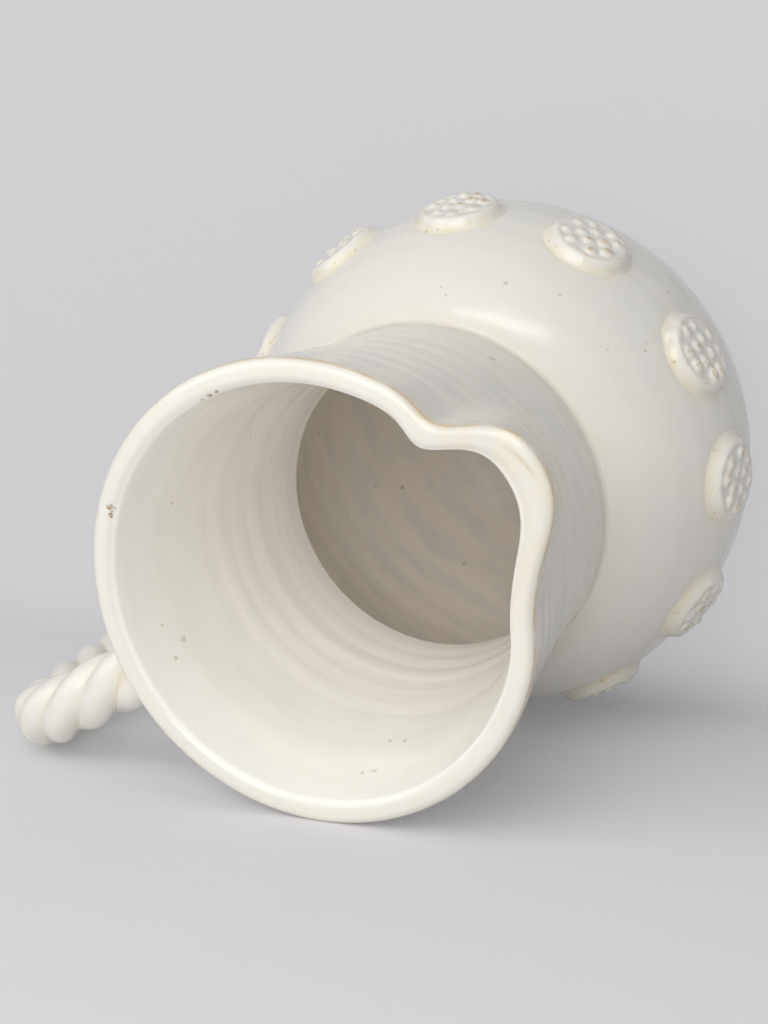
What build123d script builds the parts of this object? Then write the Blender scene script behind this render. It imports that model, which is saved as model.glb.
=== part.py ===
from build123d import *
import os
from math import asin, cos, degrees, dist, exp, pi, radians, sin, sqrt, tan

os.makedirs("parts", exist_ok=True)

# White-glazed earthenware jug, in millimetres. It stands on its foot with the thrown axis along +Z,
# the spout towards -X and the handle towards +X. The origin is the middle of the foot's underside.

# Belly and foot
belly_radius = 80.0
belly_half_height = 74.3
belly_wall = 6.5
floor_thickness = 8.0
foot_radius = 42.0
foot_height = 4.0
foot_ledge = 1.5
foot_bevel = 1.0

# Neck, lip and spout. Turns are in degrees from the middle of the spout, anticlockwise from above.
neck_root_radius = 54.5
neck_height = 87.0
neck_flare = 1.5
throat_radius = 46.2
spigot_wall = 2.8
rim_radius = 65.8
lip_thickness = 7.0
lip_outer_round = 2.8
lip_inner_round = 2.0
nose_reach = 15.4
nose_turn = 4.8
nose_spread_angle = 18.3
nose_round = 2.7
nose_lip = 4.5
thumb_depth = 7.4
thumb_turn = 21.3
finger_depth = 1.0
finger_turn = -29.4
dent_spread_angle = 8.0
spout_start = 0.25
spout_ease = 1.5
outline_points = 72
section_shares = (0.0, 0.25, 0.5, 0.7, 0.87, 1.0)

# Rope handle
strand_count = 3
strand_diameter = 8.3
rope_lay = 46.0
rope_start_angle = 9.0
arcs_per_lay = 4
samples_per_lay = 24
lay_tolerance = 0.01
tangent_step = 0.1
handle_below_lip = 21.0
handle_stand_off = 48.0
upper_bend = 28.0
root_length = 8.0
root_flare = 4.0
root_lip = 0.6
lower_lead = 3.0

# Stamped bosses
boss_count = 11
boss_step_angle = 31.1
boss_turn = 2.6
front_boss = 6
front_boss_angle = -2.3
boss_drop = 43.2
boss_radius = 12.2
boss_height = 3.6
boss_side_angle = 9.0
boss_round = 2.4
stamp_radius = 9.0
stamp_depth = 0.8
stamp_turn = 37.0
nub_rows = 4
nub_pitch = 4.2
nub_radius = 1.75
nub_tip_radius = 1.0
nub_height = 1.3

# Clay pieces stand this far apart where they are luted with slip.
slip_gap = 0.2

# Angles, in degrees
half_turn = 180.0
low_end_angle = -90.0


def ellipse_rise(radius, half_width, half_height):
    """Height above its middle at which an ellipse is this wide."""
    return half_height * sqrt(1 - (radius / half_width) ** 2)


def ellipse_angle(rise, half_height):
    """Angle of an ellipse's own parameter at this height above its middle, in degrees."""
    return degrees(asin(rise / half_height))


def belly_arc(half_width, half_height, low, high):
    """Stretch of an ellipse about the belly's middle, from one height up to another.

    Its angles count from its low end, so a belly taller than wide builds as well.
    """
    first = ellipse_angle(low - belly_middle, half_height)
    last = ellipse_angle(high - belly_middle, half_height)
    return EllipticalCenterArc(
        (0, belly_middle),
        half_height,
        half_width,
        first - low_end_angle,
        arc_size=last - first,
        rotation=low_end_angle,
    )


def belly_radius_at(height):
    return belly_radius * sqrt(1 - ((height - belly_middle) / belly_half_height) ** 2)


def neck_radius_at(height):
    return neck_root_radius + (rim_radius - neck_root_radius) * (height / neck_height) ** neck_flare


def bore_radius_at(height):
    share = (height + spigot_depth) / (neck_height + spigot_depth)
    return throat_radius + (rim_radius - lip_thickness - throat_radius) * share**neck_flare


def spout_reach(turn, nose):
    """How far the pinched rim stands out from its circle at this turn."""
    pull = nose * exp(-abs((turn - nose_turn) / nose_spread_angle) ** nose_round)
    thumb = thumb_depth * exp(-(((turn - thumb_turn) / dent_spread_angle) ** 2))
    finger = finger_depth * exp(-(((turn - finger_turn) / dent_spread_angle) ** 2))
    return pull - thumb - finger


def neck_outline(radius, share, nose):
    """Points round the neck at this share of its height, with the spout fading in towards the rim."""
    fade = max(0.0, (share - spout_start) / (1 - spout_start)) ** spout_ease
    points = []
    for step in range(outline_points):
        turn = 2 * half_turn * step / outline_points - half_turn
        reach = radius + fade * spout_reach(turn, nose)
        points.append((-reach * cos(radians(turn)), -reach * sin(radians(turn))))
    return points


# Heights that follow from the sizes above
waist_radius = foot_radius - foot_ledge
inner_half_width = belly_radius - belly_wall
inner_half_height = belly_half_height - belly_wall
mouth_radius = throat_radius + spigot_wall + slip_gap
belly_middle = foot_height + ellipse_rise(waist_radius, belly_radius, belly_half_height)
neck_root = belly_middle + ellipse_rise(neck_root_radius, belly_radius, belly_half_height)
mouth_edge = belly_middle + ellipse_rise(mouth_radius, inner_half_width, inner_half_height)
spigot_depth = neck_root - mouth_edge
rim_top = neck_root + neck_height
boss_level = neck_root - boss_drop

# Belly, turned as one hollow globe on a flat foot
with BuildPart() as belly:
    with BuildSketch(Plane.XZ):
        with BuildLine():
            outer = belly_arc(belly_radius, belly_half_height, foot_height, neck_root)
            shoulder = belly_arc(inner_half_width, inner_half_height, belly_middle, mouth_edge)
            bowl = belly_arc(inner_half_width, belly_middle - floor_thickness, floor_thickness, belly_middle)
            Polyline(outer @ 1, (mouth_radius, neck_root), shoulder @ 1)
            Polyline(
                bowl @ 0,
                (0, 0),
                (foot_radius - foot_bevel, 0),
                (foot_radius, foot_bevel),
                (foot_radius, foot_height),
                outer @ 0,
            )
        make_face()
    revolve(axis=Axis.Z)
belly.part.label = "belly"
export_step(belly.part, "parts/belly.step")

# Neck, flared and pinched into a spout, with a spigot that drops into the belly's mouth
with BuildPart() as neck:
    for share in section_shares:
        with BuildSketch(Plane.XY.offset(neck_root + share * neck_height)):
            with BuildLine():
                Spline(neck_outline(neck_radius_at(share * neck_height), share, nose_reach), periodic=True)
            make_face()
    loft()
    with BuildSketch(Plane.XY.offset(neck_root)):
        Circle(mouth_radius - slip_gap)
    extrude(amount=-spigot_depth)
    with BuildSketch(Plane.XY.offset(neck_root - spigot_depth)):
        with BuildLine():
            Spline(neck_outline(throat_radius, 0.0, nose_reach), periodic=True)
        make_face()
    for share in section_shares:
        with BuildSketch(Plane.XY.offset(neck_root + share * neck_height)):
            with BuildLine():
                Spline(
                    neck_outline(bore_radius_at(share * neck_height), share, nose_reach - nose_lip),
                    periodic=True,
                )
            make_face()
    loft(mode=Mode.SUBTRACT)
    lip_face = neck.faces().filter_by(GeomType.PLANE).sort_by(Axis.Z)[-1]
    fillet(lip_face.outer_wire().edges(), radius=lip_outer_round)
    lip_face = neck.faces().filter_by(GeomType.PLANE).sort_by(Axis.Z)[-1]
    fillet(lip_face.inner_wires().edges(), radius=lip_inner_round)
neck.part.label = "neck"
export_step(neck.part, "parts/neck.step")

# Forms of the belly and the neck, grown by the slip, that shape the backs of the pieces set on them
with BuildPart() as belly_form:
    with BuildSketch(Plane.XZ):
        with BuildLine():
            half = EllipticalCenterArc(
                (0, belly_middle),
                belly_radius + slip_gap,
                belly_half_height + slip_gap,
                low_end_angle,
                arc_size=half_turn,
            )
            Line(half @ 1, half @ 0)
        make_face()
    revolve(axis=Axis.Z)

with BuildPart() as neck_form:
    for share in section_shares:
        with BuildSketch(Plane.XY.offset(neck_root + share * neck_height)):
            with BuildLine():
                Spline(
                    neck_outline(neck_radius_at(share * neck_height) + slip_gap, share, nose_reach),
                    periodic=True,
                )
            make_face()
    loft()

# Line of the rope handle, from the neck round to the belly
upper_level = rim_top - handle_below_lip
upper_seat = neck_radius_at(neck_height - handle_below_lip)
lower_seat = belly_radius_at(boss_level)
handle_reach = belly_radius + handle_stand_off
lower_bend = handle_reach - lower_seat - root_length - lower_lead
with BuildLine(Plane.XZ) as handle:
    FilletPolyline(
        (upper_seat, upper_level),
        (handle_reach, upper_level),
        (handle_reach, boss_level),
        (lower_seat, boss_level),
        radius=[upper_bend, lower_bend],
    )
handle_line = handle.wire()
handle_length = handle_line.length
rope_first = root_length
rope_last = handle_length - root_length
twist_ease = rope_lay / arcs_per_lay


def strand_point(along, phase, lay_circle):
    """Middle of a strand at this distance along the handle's line.

    The rope is laid left-handed, and its twist eases out at both ends, so that the strands meet the
    roots square.
    """
    middle = handle_line.position_at(along / handle_length)
    ahead = handle_line.tangent_at(along / handle_length)
    inward = Vector(ahead.Z, 0, -ahead.X)
    first_ease = (twist_ease - min(twist_ease, along - rope_first)) ** 2 / (2 * twist_ease)
    last_ease = (twist_ease - min(twist_ease, rope_last - along)) ** 2 / (2 * twist_ease)
    turn = phase - 2 * pi * (along + first_ease - last_ease) / rope_lay
    return middle + inward * (lay_circle * cos(turn)) + Vector(0, lay_circle * sin(turn), 0)


def strand_points(phase, lay_circle, count):
    """Middles of a strand, evenly spaced along the rope."""
    step = (rope_last - rope_first) / count
    return [tuple(strand_point(rope_first + step * number, phase, lay_circle)) for number in range(count + 1)]


# The strands lie on the smallest circle that keeps each a slip gap from the next.
gap_samples = round(samples_per_lay * handle_length / rope_lay)
lay_low = strand_diameter / 2
lay_high = strand_diameter * 2
while lay_high - lay_low > lay_tolerance:
    lay_circle = (lay_low + lay_high) / 2
    one = strand_points(0.0, lay_circle, gap_samples)
    next_one = strand_points(2 * pi / strand_count, lay_circle, gap_samples)
    least = min(dist(a, b) for a in one for b in next_one)
    if least < strand_diameter + slip_gap:
        lay_low = lay_circle
    else:
        lay_high = lay_circle
lay_circle = lay_high
rope_radius = lay_circle + strand_diameter / 2
print("rope diameter", round(2 * rope_radius, 2), "lay circle", round(lay_circle, 2))


def biarc(start, start_way, end, end_way):
    """Two arcs that leave start along start_way and reach end along end_way."""
    span = end - start
    ways = start_way + end_way
    spread = 2 * (1 - start_way.dot(end_way))
    reach = (sqrt(span.dot(ways) ** 2 + spread * span.dot(span)) - span.dot(ways)) / spread
    joint = (start + end + (start_way - end_way) * reach) / 2
    joint_way = (end - end_way * reach - start - start_way * reach).normalized()
    TangentArc(start, joint, tangent=start_way)
    TangentArc(joint, end, tangent=joint_way)


# Three strands, swept in quarter turns from root to root
quarter_turns = round(arcs_per_lay * (rope_last - rope_first) / rope_lay)
quarter = (rope_last - rope_first) / quarter_turns
for number in range(strand_count):
    phase = radians(rope_start_angle) + 2 * pi * number / strand_count
    with BuildPart() as strand:
        with BuildLine() as strand_line:
            for step in range(quarter_turns):
                ends = (rope_first + step * quarter, rope_first + (step + 1) * quarter)
                middles = [strand_point(along, phase, lay_circle) for along in ends]
                ways = [
                    (
                        strand_point(along + tangent_step, phase, lay_circle)
                        - strand_point(along - tangent_step, phase, lay_circle)
                    ).normalized()
                    for along in ends
                ]
                biarc(middles[0], ways[0], middles[1], ways[1])
        with BuildSketch(Plane(origin=strand_line.wire() @ 0, z_dir=strand_line.wire() % 0)):
            Circle(strand_diameter / 2)
        sweep(path=strand_line.wire())
    strand_name = f"handle_strand_{number + 1}"
    strand.part.label = strand_name
    export_step(strand.part, f"parts/{strand_name}.step")

# Roots of pressed clay that spread from the rope's ends onto the neck and the belly
root_radius = rope_radius + root_lip
upper_face = Plane(origin=(upper_seat + root_length, 0, upper_level), z_dir=(1, 0, 0))
lower_face = Plane(origin=(lower_seat + root_length, 0, boss_level), z_dir=(1, 0, 0))
for root_name, face, form in (
    ("handle_root_upper", upper_face, neck_form),
    ("handle_root_lower", lower_face, belly_form),
):
    with BuildPart() as root:
        with BuildSketch(Plane(origin=face.origin, x_dir=(0, 0, 1), z_dir=(0, 1, 0))):
            with BuildLine():
                flare = TangentArc(
                    (root_radius, 0), (root_radius + root_flare, -root_length), tangent=(0, -1)
                )
                Polyline(
                    flare @ 1,
                    (root_radius + root_flare, -2 * root_length),
                    (0, -2 * root_length),
                    (0, 0),
                    flare @ 0,
                )
            make_face()
        revolve(axis=Axis(face.origin, face.z_dir))
        add(form.part, mode=Mode.SUBTRACT)
    root.part.label = root_name
    export_step(root.part, f"parts/{root_name}.step")

# One stamped pad, lying flat, with a rounded border round a sunk field of nubs
with BuildPart() as pad:
    with BuildSketch(Plane.XY.offset(-boss_height)):
        Circle(boss_radius + boss_height * tan(radians(boss_side_angle)))
    extrude(amount=2 * boss_height, taper=boss_side_angle)
    fillet(pad.faces().sort_by(Axis.Z)[-1].edges(), radius=boss_round)
    with BuildSketch(Plane.XY.offset(boss_height)):
        Circle(stamp_radius)
    extrude(amount=-stamp_depth, mode=Mode.SUBTRACT)
    grid = GridLocations(nub_pitch, nub_pitch, nub_rows, nub_rows)
    nub_spots = [spot for spot in grid.locations if spot.position.length + nub_radius < stamp_radius]
    with Locations(Plane.XY.offset(boss_height - stamp_depth)):
        with Locations(*nub_spots):
            Cone(nub_radius, nub_tip_radius, nub_height, align=(Align.CENTER, Align.CENTER, Align.MIN))

# Bosses set round the belly from under the spout, leaving room for the handle's lower root. The front one
# sits a little off its even place.
boss_rise = boss_level - belly_middle
boss_seat = belly_radius_at(boss_level)
boss_slope = Vector(boss_seat / belly_radius**2, 0, boss_rise / belly_half_height**2).normalized()
for number in range(boss_count):
    turn = half_turn + boss_turn + boss_step_angle * (number - (boss_count - 1) / 2)
    if number + 1 == front_boss:
        turn += front_boss_angle
    seat = Vector(boss_seat, 0, boss_rise + belly_middle).rotate(Axis.Z, turn)
    outward = boss_slope.rotate(Axis.Z, turn)
    across = Vector(0, 1, 0).rotate(Axis.Z, turn)
    with BuildPart() as boss:
        with Locations(Plane(origin=seat, x_dir=across, z_dir=outward)):
            with Locations(Rotation(0, 0, stamp_turn * number)):
                add(pad.part)
        add(belly_form.part, mode=Mode.SUBTRACT)
    boss_name = f"boss_{number + 1:02d}"
    boss.part.label = boss_name
    export_step(boss.part, f"parts/{boss_name}.step")
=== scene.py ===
"""White-glazed earthenware jug: the finish of its thrown, rolled and stamped pieces, and a plain studio."""

from math import atan2, cos, exp, hypot, pi, radians, sin, sqrt, tau
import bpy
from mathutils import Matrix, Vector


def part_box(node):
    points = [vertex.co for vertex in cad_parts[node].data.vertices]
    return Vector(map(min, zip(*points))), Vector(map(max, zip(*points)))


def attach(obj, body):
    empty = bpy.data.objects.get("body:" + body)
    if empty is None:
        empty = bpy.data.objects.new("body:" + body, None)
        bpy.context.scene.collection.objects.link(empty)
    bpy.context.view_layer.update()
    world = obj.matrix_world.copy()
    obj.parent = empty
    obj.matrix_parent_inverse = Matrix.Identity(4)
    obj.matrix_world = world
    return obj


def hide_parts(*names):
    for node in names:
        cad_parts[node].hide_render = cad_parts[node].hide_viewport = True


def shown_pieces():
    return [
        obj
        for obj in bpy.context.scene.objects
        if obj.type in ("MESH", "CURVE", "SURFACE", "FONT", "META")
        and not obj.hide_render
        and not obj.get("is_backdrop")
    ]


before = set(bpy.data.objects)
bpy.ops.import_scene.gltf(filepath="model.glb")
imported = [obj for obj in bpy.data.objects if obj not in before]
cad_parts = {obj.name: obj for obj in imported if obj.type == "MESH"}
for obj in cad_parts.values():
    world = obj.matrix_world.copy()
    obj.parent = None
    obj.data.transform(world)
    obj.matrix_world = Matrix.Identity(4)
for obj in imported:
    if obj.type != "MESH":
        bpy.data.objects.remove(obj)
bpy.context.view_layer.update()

from types import SimpleNamespace

import bpy
from bpy.props import FloatProperty, FloatVectorProperty, IntProperty, PointerProperty
from mathutils import Matrix, Vector, noise
from mathutils.kdtree import KDTree

bl_info = {
    "name": "Rope-handled jug",
    "version": (1, 0, 0),
    "blender": (4, 5, 0),
    "location": "3D View > Sidebar > Jug",
    "description": "Models and glazes a thrown jug with a pinched spout, a rope handle and stamped bosses",
    "category": "Object",
}

BODY = "root"
NECK_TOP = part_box("neck")[1].z
MERGE = 0.000002  # points nearer to each other than this become one


def length(name, description, default):
    return FloatProperty(name=name, description=description, default=default, unit="LENGTH", precision=5)


def angle(name, description, default):
    return FloatProperty(name=name, description=description, default=radians(default), unit="ROTATION")


def power(name, description, default):
    return FloatProperty(name=name, description=description, default=default, unit="POWER")


def number(name, description, default):
    return FloatProperty(name=name, description=description, default=default)


def count(name, description, default):
    return IntProperty(name=name, description=description, default=default, min=1)


def colour(name, description, default):
    return FloatVectorProperty(
        name=name, description=description, default=default, subtype="COLOR", size=3, min=0.0, max=1.0
    )


class JugBelly(bpy.types.PropertyGroup):
    """Sizes of the thrown belly and its foot"""

    radius: length("Radius", "Half the width of the belly", 0.0800)
    half_height: length("Half height", "Half the height of the whole globe", 0.0743)
    wall: length("Wall", "Thickness of the wall", 0.0065)
    floor: length("Floor", "Thickness of the floor", 0.0080)
    foot_radius: length("Foot radius", "Half the width of the foot", 0.0420)
    foot_height: length("Foot height", "Height of the foot under the globe", 0.0040)
    waist_radius: length("Waist radius", "Half the width of the globe at the foot", 0.0405)
    ring_pitch: length("Ring pitch", "Distance between the throwing rings", 0.0095)
    ring_depth: length("Ring depth", "Depth of the rings inside", 0.00016)


class JugNeck(bpy.types.PropertyGroup):
    """Sizes of the thrown neck, its lip and its pinched spout"""

    root_radius: length("Root radius", "Half the width of the neck at the belly", 0.0545)
    rim_radius: length("Rim radius", "Half the width of the rim", 0.0658)
    throat_radius: length("Throat radius", "Half the width of the bore at its narrow end", 0.0462)
    flare: number("Flare", "How late the neck opens out", 1.5)
    lip: length("Lip", "Thickness of the lip", 0.0070)
    crease_round: length("Crease round", "Rounding of the slip in the crease", 0.0032)
    nose_reach: length("Nose reach", "How far the spout stands out", 0.0154)
    nose_lip: length("Nose lip", "How much thicker the lip is at the spout", 0.0045)
    nose_turn: angle("Nose turn", "Turn of the spout's middle", 4.8)
    nose_spread: angle("Nose spread", "Half the width of the spout", 18.3)
    thumb_depth: length("Thumb depth", "Depth of the thumb's dent beside the spout", 0.0074)
    thumb_turn: angle("Thumb turn", "Turn of the thumb's dent", 21.3)
    finger_depth: length("Finger depth", "Depth of the finger's dent beside the spout", 0.0010)
    finger_turn: angle("Finger turn", "Turn of the finger's dent", -29.4)
    spout_start: number("Spout start", "Share of the neck's height where the spout begins", 0.25)
    ring_pitch: length("Ring pitch", "Distance between the throwing rings inside", 0.0094)
    ring_depth: length("Ring depth", "Depth of the rings inside", 0.00010)


class JugRope(bpy.types.PropertyGroup):
    """Sizes of the twisted handle and the roots it is pressed on with"""

    strands: count("Strands", "Strands in the rope", 3)
    strand_radius: length("Strand radius", "Half the width of a strand", 0.00415)
    lay_circle: length("Lay circle", "Radius of the circle that the strands turn on", 0.00580)
    lay: length("Lay", "Length of the rope in one turn", 0.0460)
    reach: length("Reach", "Distance of the grip from the jug's axis", 0.1280)
    below_lip: length("Below lip", "Drop of the upper arm under the lip", 0.0210)
    upper_bend: length("Upper bend", "Radius of the bend at the top", 0.0280)
    root_length: length("Root length", "How far a root stands out", 0.0080)
    root_flare: length("Root flare", "How far a root spreads", 0.0046)


class JugBosses(bpy.types.PropertyGroup):
    """Sizes of the stamped pads round the belly"""

    pads: count("Pads", "Pads round the belly", 11)
    step: angle("Step", "Turn from one pad to the next", 31.1)
    turn: angle("Turn", "Turn of the middle pad from the spout", 2.6)
    drop: length("Drop", "Drop of the pads under the crease", 0.0432)
    radius: length("Radius", "Half the width of a pad", 0.0122)
    nub_pitch: length("Nub pitch", "Distance between nubs", 0.0051)
    nub_radius: length("Nub radius", "Half the width of a nub", 0.00218)


class JugGlaze(bpy.types.PropertyGroup):
    """Colours of the glaze and the clay"""

    white: colour("White", "Main colour of the glaze", (0.808, 0.786, 0.722))
    cool: colour("Cool", "Clouds in the glaze, a little greyer", (0.752, 0.740, 0.686))
    # Painted light: Inner and Deep are lighter than the white glaze so that the jug's inside shows bright,
    # and Deep is warmer, standing for the warm light bounced about inside.
    inner: colour("Inner", "Thick glaze inside the neck", (0.955, 0.928, 0.868))
    deep: colour("Deep", "Glaze inside the belly, a little warmer", (0.965, 0.902, 0.800))
    # The Wiped tone is also painted shade: it greys the valleys between the pads' nubs, the lip at the spout
    # and, in part, the neck's outside.
    wiped_and_shade: colour("Wiped", "Thin glaze between the strokes of the brush", (0.675, 0.660, 0.614))
    cream: colour("Cream", "Glaze pooled in hollows", (0.775, 0.700, 0.510))
    clay: colour("Clay", "Clay that shows through thin glaze", (0.520, 0.350, 0.150))
    stain: colour("Stain", "Marks of use", (0.400, 0.315, 0.165))
    iron: colour("Iron", "Specks of iron", (0.120, 0.070, 0.035))
    bare: colour("Bare clay", "Unglazed clay under the foot", (0.620, 0.450, 0.310))


class JugStage(bpy.types.PropertyGroup):
    """The studio"""

    floor: colour("Floor", "Colour of the floor", (0.420, 0.416, 0.430))
    backdrop: colour("Backdrop", "Colour of the leaning backdrop", (0.805, 0.800, 0.818))
    floor_size: length("Floor size", "Width of the floor", 6.0)
    key: power("Key", "Power of the large soft lamp", 8.5)
    side: power("Side", "Power of the large soft lamp beside it", 4.3)
    strip: power("Strip", "Power of the narrow lamp over the shoulder", 1.5)
    front: power("Front", "Power of the lamp that reaches inside", 2.7)
    back: power("Back", "Power of the soft lamp behind the jug", 0.8)
    sky: number("Sky", "Strength of the light from all round", 0.10)
    glow: number("Glow", "Share of an even pale tone that the floor shows to the camera", 0.65)
    fill: number("Fill", "The same share on the backdrop", 0.16)
    cove: length("Cove", "How far the bend between floor and backdrop reaches each way", 0.052)
    lens: FloatProperty(name="Lens", description="Focal length of the camera", default=77.17, unit="CAMERA")


GROUPS = {
    "jug_belly": JugBelly,
    "jug_neck": JugNeck,
    "jug_rope": JugRope,
    "jug_bosses": JugBosses,
    "jug_glaze": JugGlaze,
    "jug_stage": JugStage,
}


# Form of the jug


def plain(group, **fixed):
    """A group's sizes as plain numbers, with the lesser ones that stay as they are."""
    sizes = {name: getattr(group, name) for name in type(group).__annotations__}
    return SimpleNamespace(**sizes, **fixed)


def smooth_step(value, low, high):
    """Smoothly from 0 at one value to 1 at another."""
    share = min(1.0, max(0.0, (value - low) / (high - low)))
    return share * share * (3 - 2 * share)


def hump(value, middle, wide):
    """A soft hump of height 1."""
    return exp(-(((value - middle) / wide) ** 2))


def beside(share):
    """Height of a circle of radius 1 at this distance from its middle."""
    return sqrt(max(0.0, 1 - share**2))


def between(first, last, steps):
    """Even steps from one value to another, with both ends."""
    return [first + (last - first) * step / steps for step in range(steps + 1)]


def arc(centre, wide, high, first, last, steps):
    """Points of an oval between two turns, as radii and heights."""
    turns = between(first, last, steps)
    return [(centre[0] + wide * cos(turn), centre[1] + high * sin(turn)) for turn in turns]


class Form:
    """The jug's form in plain numbers, worked out from its sizes."""

    def __init__(self):
        scene = bpy.context.scene
        self.belly = belly = plain(scene.jug_belly, foot_bevel=0.0010, steps=240)
        self.neck = neck = plain(
            scene.jug_neck,
            spigot_radius=0.0490,
            mouth_radius=0.0492,
            throat_round=0.0013,
            lip_inner_round=0.0031,
            lip_outer_round=0.0028,
            nose_round=2.7,
            dent_spread=radians(8.0),
            spout_ease=1.5,
            steps=288,
        )
        self.rope = plain(
            scene.jug_rope, press=0.00060, groove_floor=0.0074, start=radians(9.0), lower_lead=0.0030
        )
        self.bosses = plain(
            scene.jug_bosses, front=6, front_turn=radians(-2.3), stamp_turn=radians(37.0), field_radius=0.0102
        )
        self.inner = belly.radius - belly.wall
        self.inner_high = belly.half_height - belly.wall
        self.middle = belly.foot_height + belly.half_height * beside(belly.waist_radius / belly.radius)
        self.root = self.middle + belly.half_height * beside(neck.root_radius / belly.radius)
        self.edge = self.middle + self.inner_high * beside(neck.mouth_radius / self.inner)
        self.top = NECK_TOP
        self.boss_level = self.root - self.bosses.drop
        self.handle_start, self.runs = self.handle_line()
        self.handle_length = sum(run[0] for run in self.runs)

    def belly_radius_at(self, height):
        return self.belly.radius * beside((height - self.middle) / self.belly.half_height)

    def flared(self, height, low, first, last):
        """Radius of a wall that opens out from one radius at a low level to another at the top."""
        share = max(0.0, height - low) / (self.top - low)
        return first + (last - first) * share**self.neck.flare

    def neck_radius_at(self, height):
        return self.flared(height, self.root, self.neck.root_radius, self.neck.rim_radius)

    def bore_radius_at(self, height):
        return self.flared(height, self.edge, self.neck.throat_radius, self.neck.rim_radius - self.neck.lip)

    def spout_reach(self, turn, nose):
        """How far the pinched rim stands out from its circle at this turn from the spout's side."""
        neck = self.neck
        pull = nose * exp(-abs((turn - neck.nose_turn) / neck.nose_spread) ** neck.nose_round)
        thumb = neck.thumb_depth * hump(turn, neck.thumb_turn, neck.dent_spread)
        finger = neck.finger_depth * hump(turn, neck.finger_turn, neck.dent_spread)
        return pull - thumb - finger

    def boss_turns(self):
        """Turn of each pad's seat about the jug's axis."""
        bosses = self.bosses
        middle = (bosses.pads - 1) / 2
        turns = [pi + bosses.turn + bosses.step * (place - middle) for place in range(bosses.pads)]
        turns[bosses.front - 1] += bosses.front_turn
        return turns

    def boss_frame(self, turn):
        """Seat of a pad: across, up and outwards from the belly."""
        belly = self.belly
        rise = self.boss_level - self.middle
        seat = self.belly_radius_at(self.boss_level)
        slope = Vector((seat / belly.radius**2, 0, rise / belly.half_height**2)).normalized()
        upright = Matrix.Rotation(turn, 3, "Z")
        outward = upright @ slope
        across = upright @ Vector((0, 1, 0))
        place = Matrix((across, outward.cross(across), outward)).transposed().to_4x4()
        place.translation = upright @ Vector((seat, 0, self.boss_level))
        return place

    def handle_line(self):
        """Where the handle leaves the neck, and its runs in turn: length and radius of the bend."""
        rope = self.rope
        high = self.top - rope.below_lip
        upper_seat = self.neck_radius_at(high)
        lower_seat = self.belly_radius_at(self.boss_level)
        upper = rope.upper_bend
        lower = rope.reach - lower_seat - rope.root_length - rope.lower_lead
        return Vector((upper_seat, 0, high)), (
            (rope.reach - upper - upper_seat, 0.0),
            (upper * pi / 2, upper),
            (high - upper - self.boss_level - lower, 0.0),
            (lower * pi / 2, lower),
            (rope.reach - lower - lower_seat, 0.0),
        )

    def handle_place(self, along):
        """Point on the handle's line, and the way it goes there."""
        place = self.handle_start
        way = Vector((1, 0, 0))
        for run_length, bend in self.runs:
            step = min(along, run_length)
            along -= step
            if bend == 0.0:
                place = place + way * step
            else:
                inward = Vector((way.z, 0, -way.x))
                turn = step / bend
                place = place + way * (bend * sin(turn)) + inward * (bend * (1 - cos(turn)))
                way = way * cos(turn) + inward * sin(turn)
        return place, way

    def strand_place(self, along, phase):
        """Middle of a strand; the twist eases out at both ends, where the roots are pressed on."""
        rope = self.rope
        ease = rope.lay / 4

        def eased(room):
            return (ease - min(ease, max(0.0, room))) ** 2 / (2 * ease)

        first = eased(along - rope.root_length)
        last = eased(self.handle_length - rope.root_length - along)
        turn = phase - tau * (along + first - last) / rope.lay
        circle = rope.lay_circle - rope.press
        middle, ahead = self.handle_place(along)
        inward = Vector((ahead.z, 0, -ahead.x))
        return middle + inward * (circle * cos(turn)) + Vector((0, circle * sin(turn), 0))


# Ways of working


def clear_selection():
    """Object mode with nothing selected, so that the next operator acts on its own piece alone."""
    if bpy.context.mode != "OBJECT":
        bpy.ops.object.mode_set(mode="OBJECT")
    bpy.ops.object.select_all(action="DESELECT")


def call(piece, name):
    """Name a piece and its data."""
    piece.name = name
    piece.data.name = name


def draw_line(name, line):
    """A new piece in edit mode: one point, drawn out into a line and selected all over."""
    clear_selection()
    bpy.ops.mesh.primitive_plane_add(location=(0, 0, 0))
    piece = bpy.context.object
    call(piece, name)
    bpy.ops.object.mode_set(mode="EDIT")
    bpy.ops.mesh.select_mode(type="VERT")
    bpy.ops.mesh.select_all(action="SELECT")
    bpy.ops.mesh.merge(type="CENTER")
    bpy.ops.transform.translate(value=line[0])
    for here, there in zip(line, line[1:]):
        bpy.ops.mesh.extrude_vertices_move(TRANSFORM_OT_translate={"value": Vector(there) - Vector(here)})
    bpy.ops.mesh.select_all(action="SELECT")
    return piece


def close_mesh():
    """Merge the doubles of the piece in edit mode, turn its faces outwards and shade it smooth."""
    bpy.ops.mesh.select_all(action="SELECT")
    bpy.ops.mesh.remove_doubles(threshold=MERGE)
    bpy.ops.mesh.normals_make_consistent(inside=False)
    bpy.ops.object.mode_set(mode="OBJECT")
    bpy.ops.object.shade_smooth()


def turn_line(name, line, centre, axis, steps):
    """Draw a line and spin it about an axis into a closed, smooth piece."""
    piece = draw_line(name, line)
    bpy.ops.mesh.spin(steps=steps, angle=tau, center=centre, axis=axis)
    close_mesh()
    if len(piece.data.polygons) < steps:
        raise RuntimeError(f"{name} has too few faces")
    return piece


def throw(name, profile, steps):
    """Spin a profile of radii and heights about the jug's upright axis."""
    return turn_line(name, [(radius, 0, height) for radius, height in profile], (0, 0, 0), (0, 0, 1), steps)


def push(point, swell):
    """Move a point away from the jug's axis."""
    if swell != 0.0:
        grow = 1 + swell / hypot(point.co.x, point.co.y)
        point.co.x *= grow
        point.co.y *= grow


def pooled(place, far):
    """Share of the glaze that pools at a place round a pad's middle: more on its upper side."""
    return max(0.0, 0.40 + 0.60 * place.y / max(far, 0.001))


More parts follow.
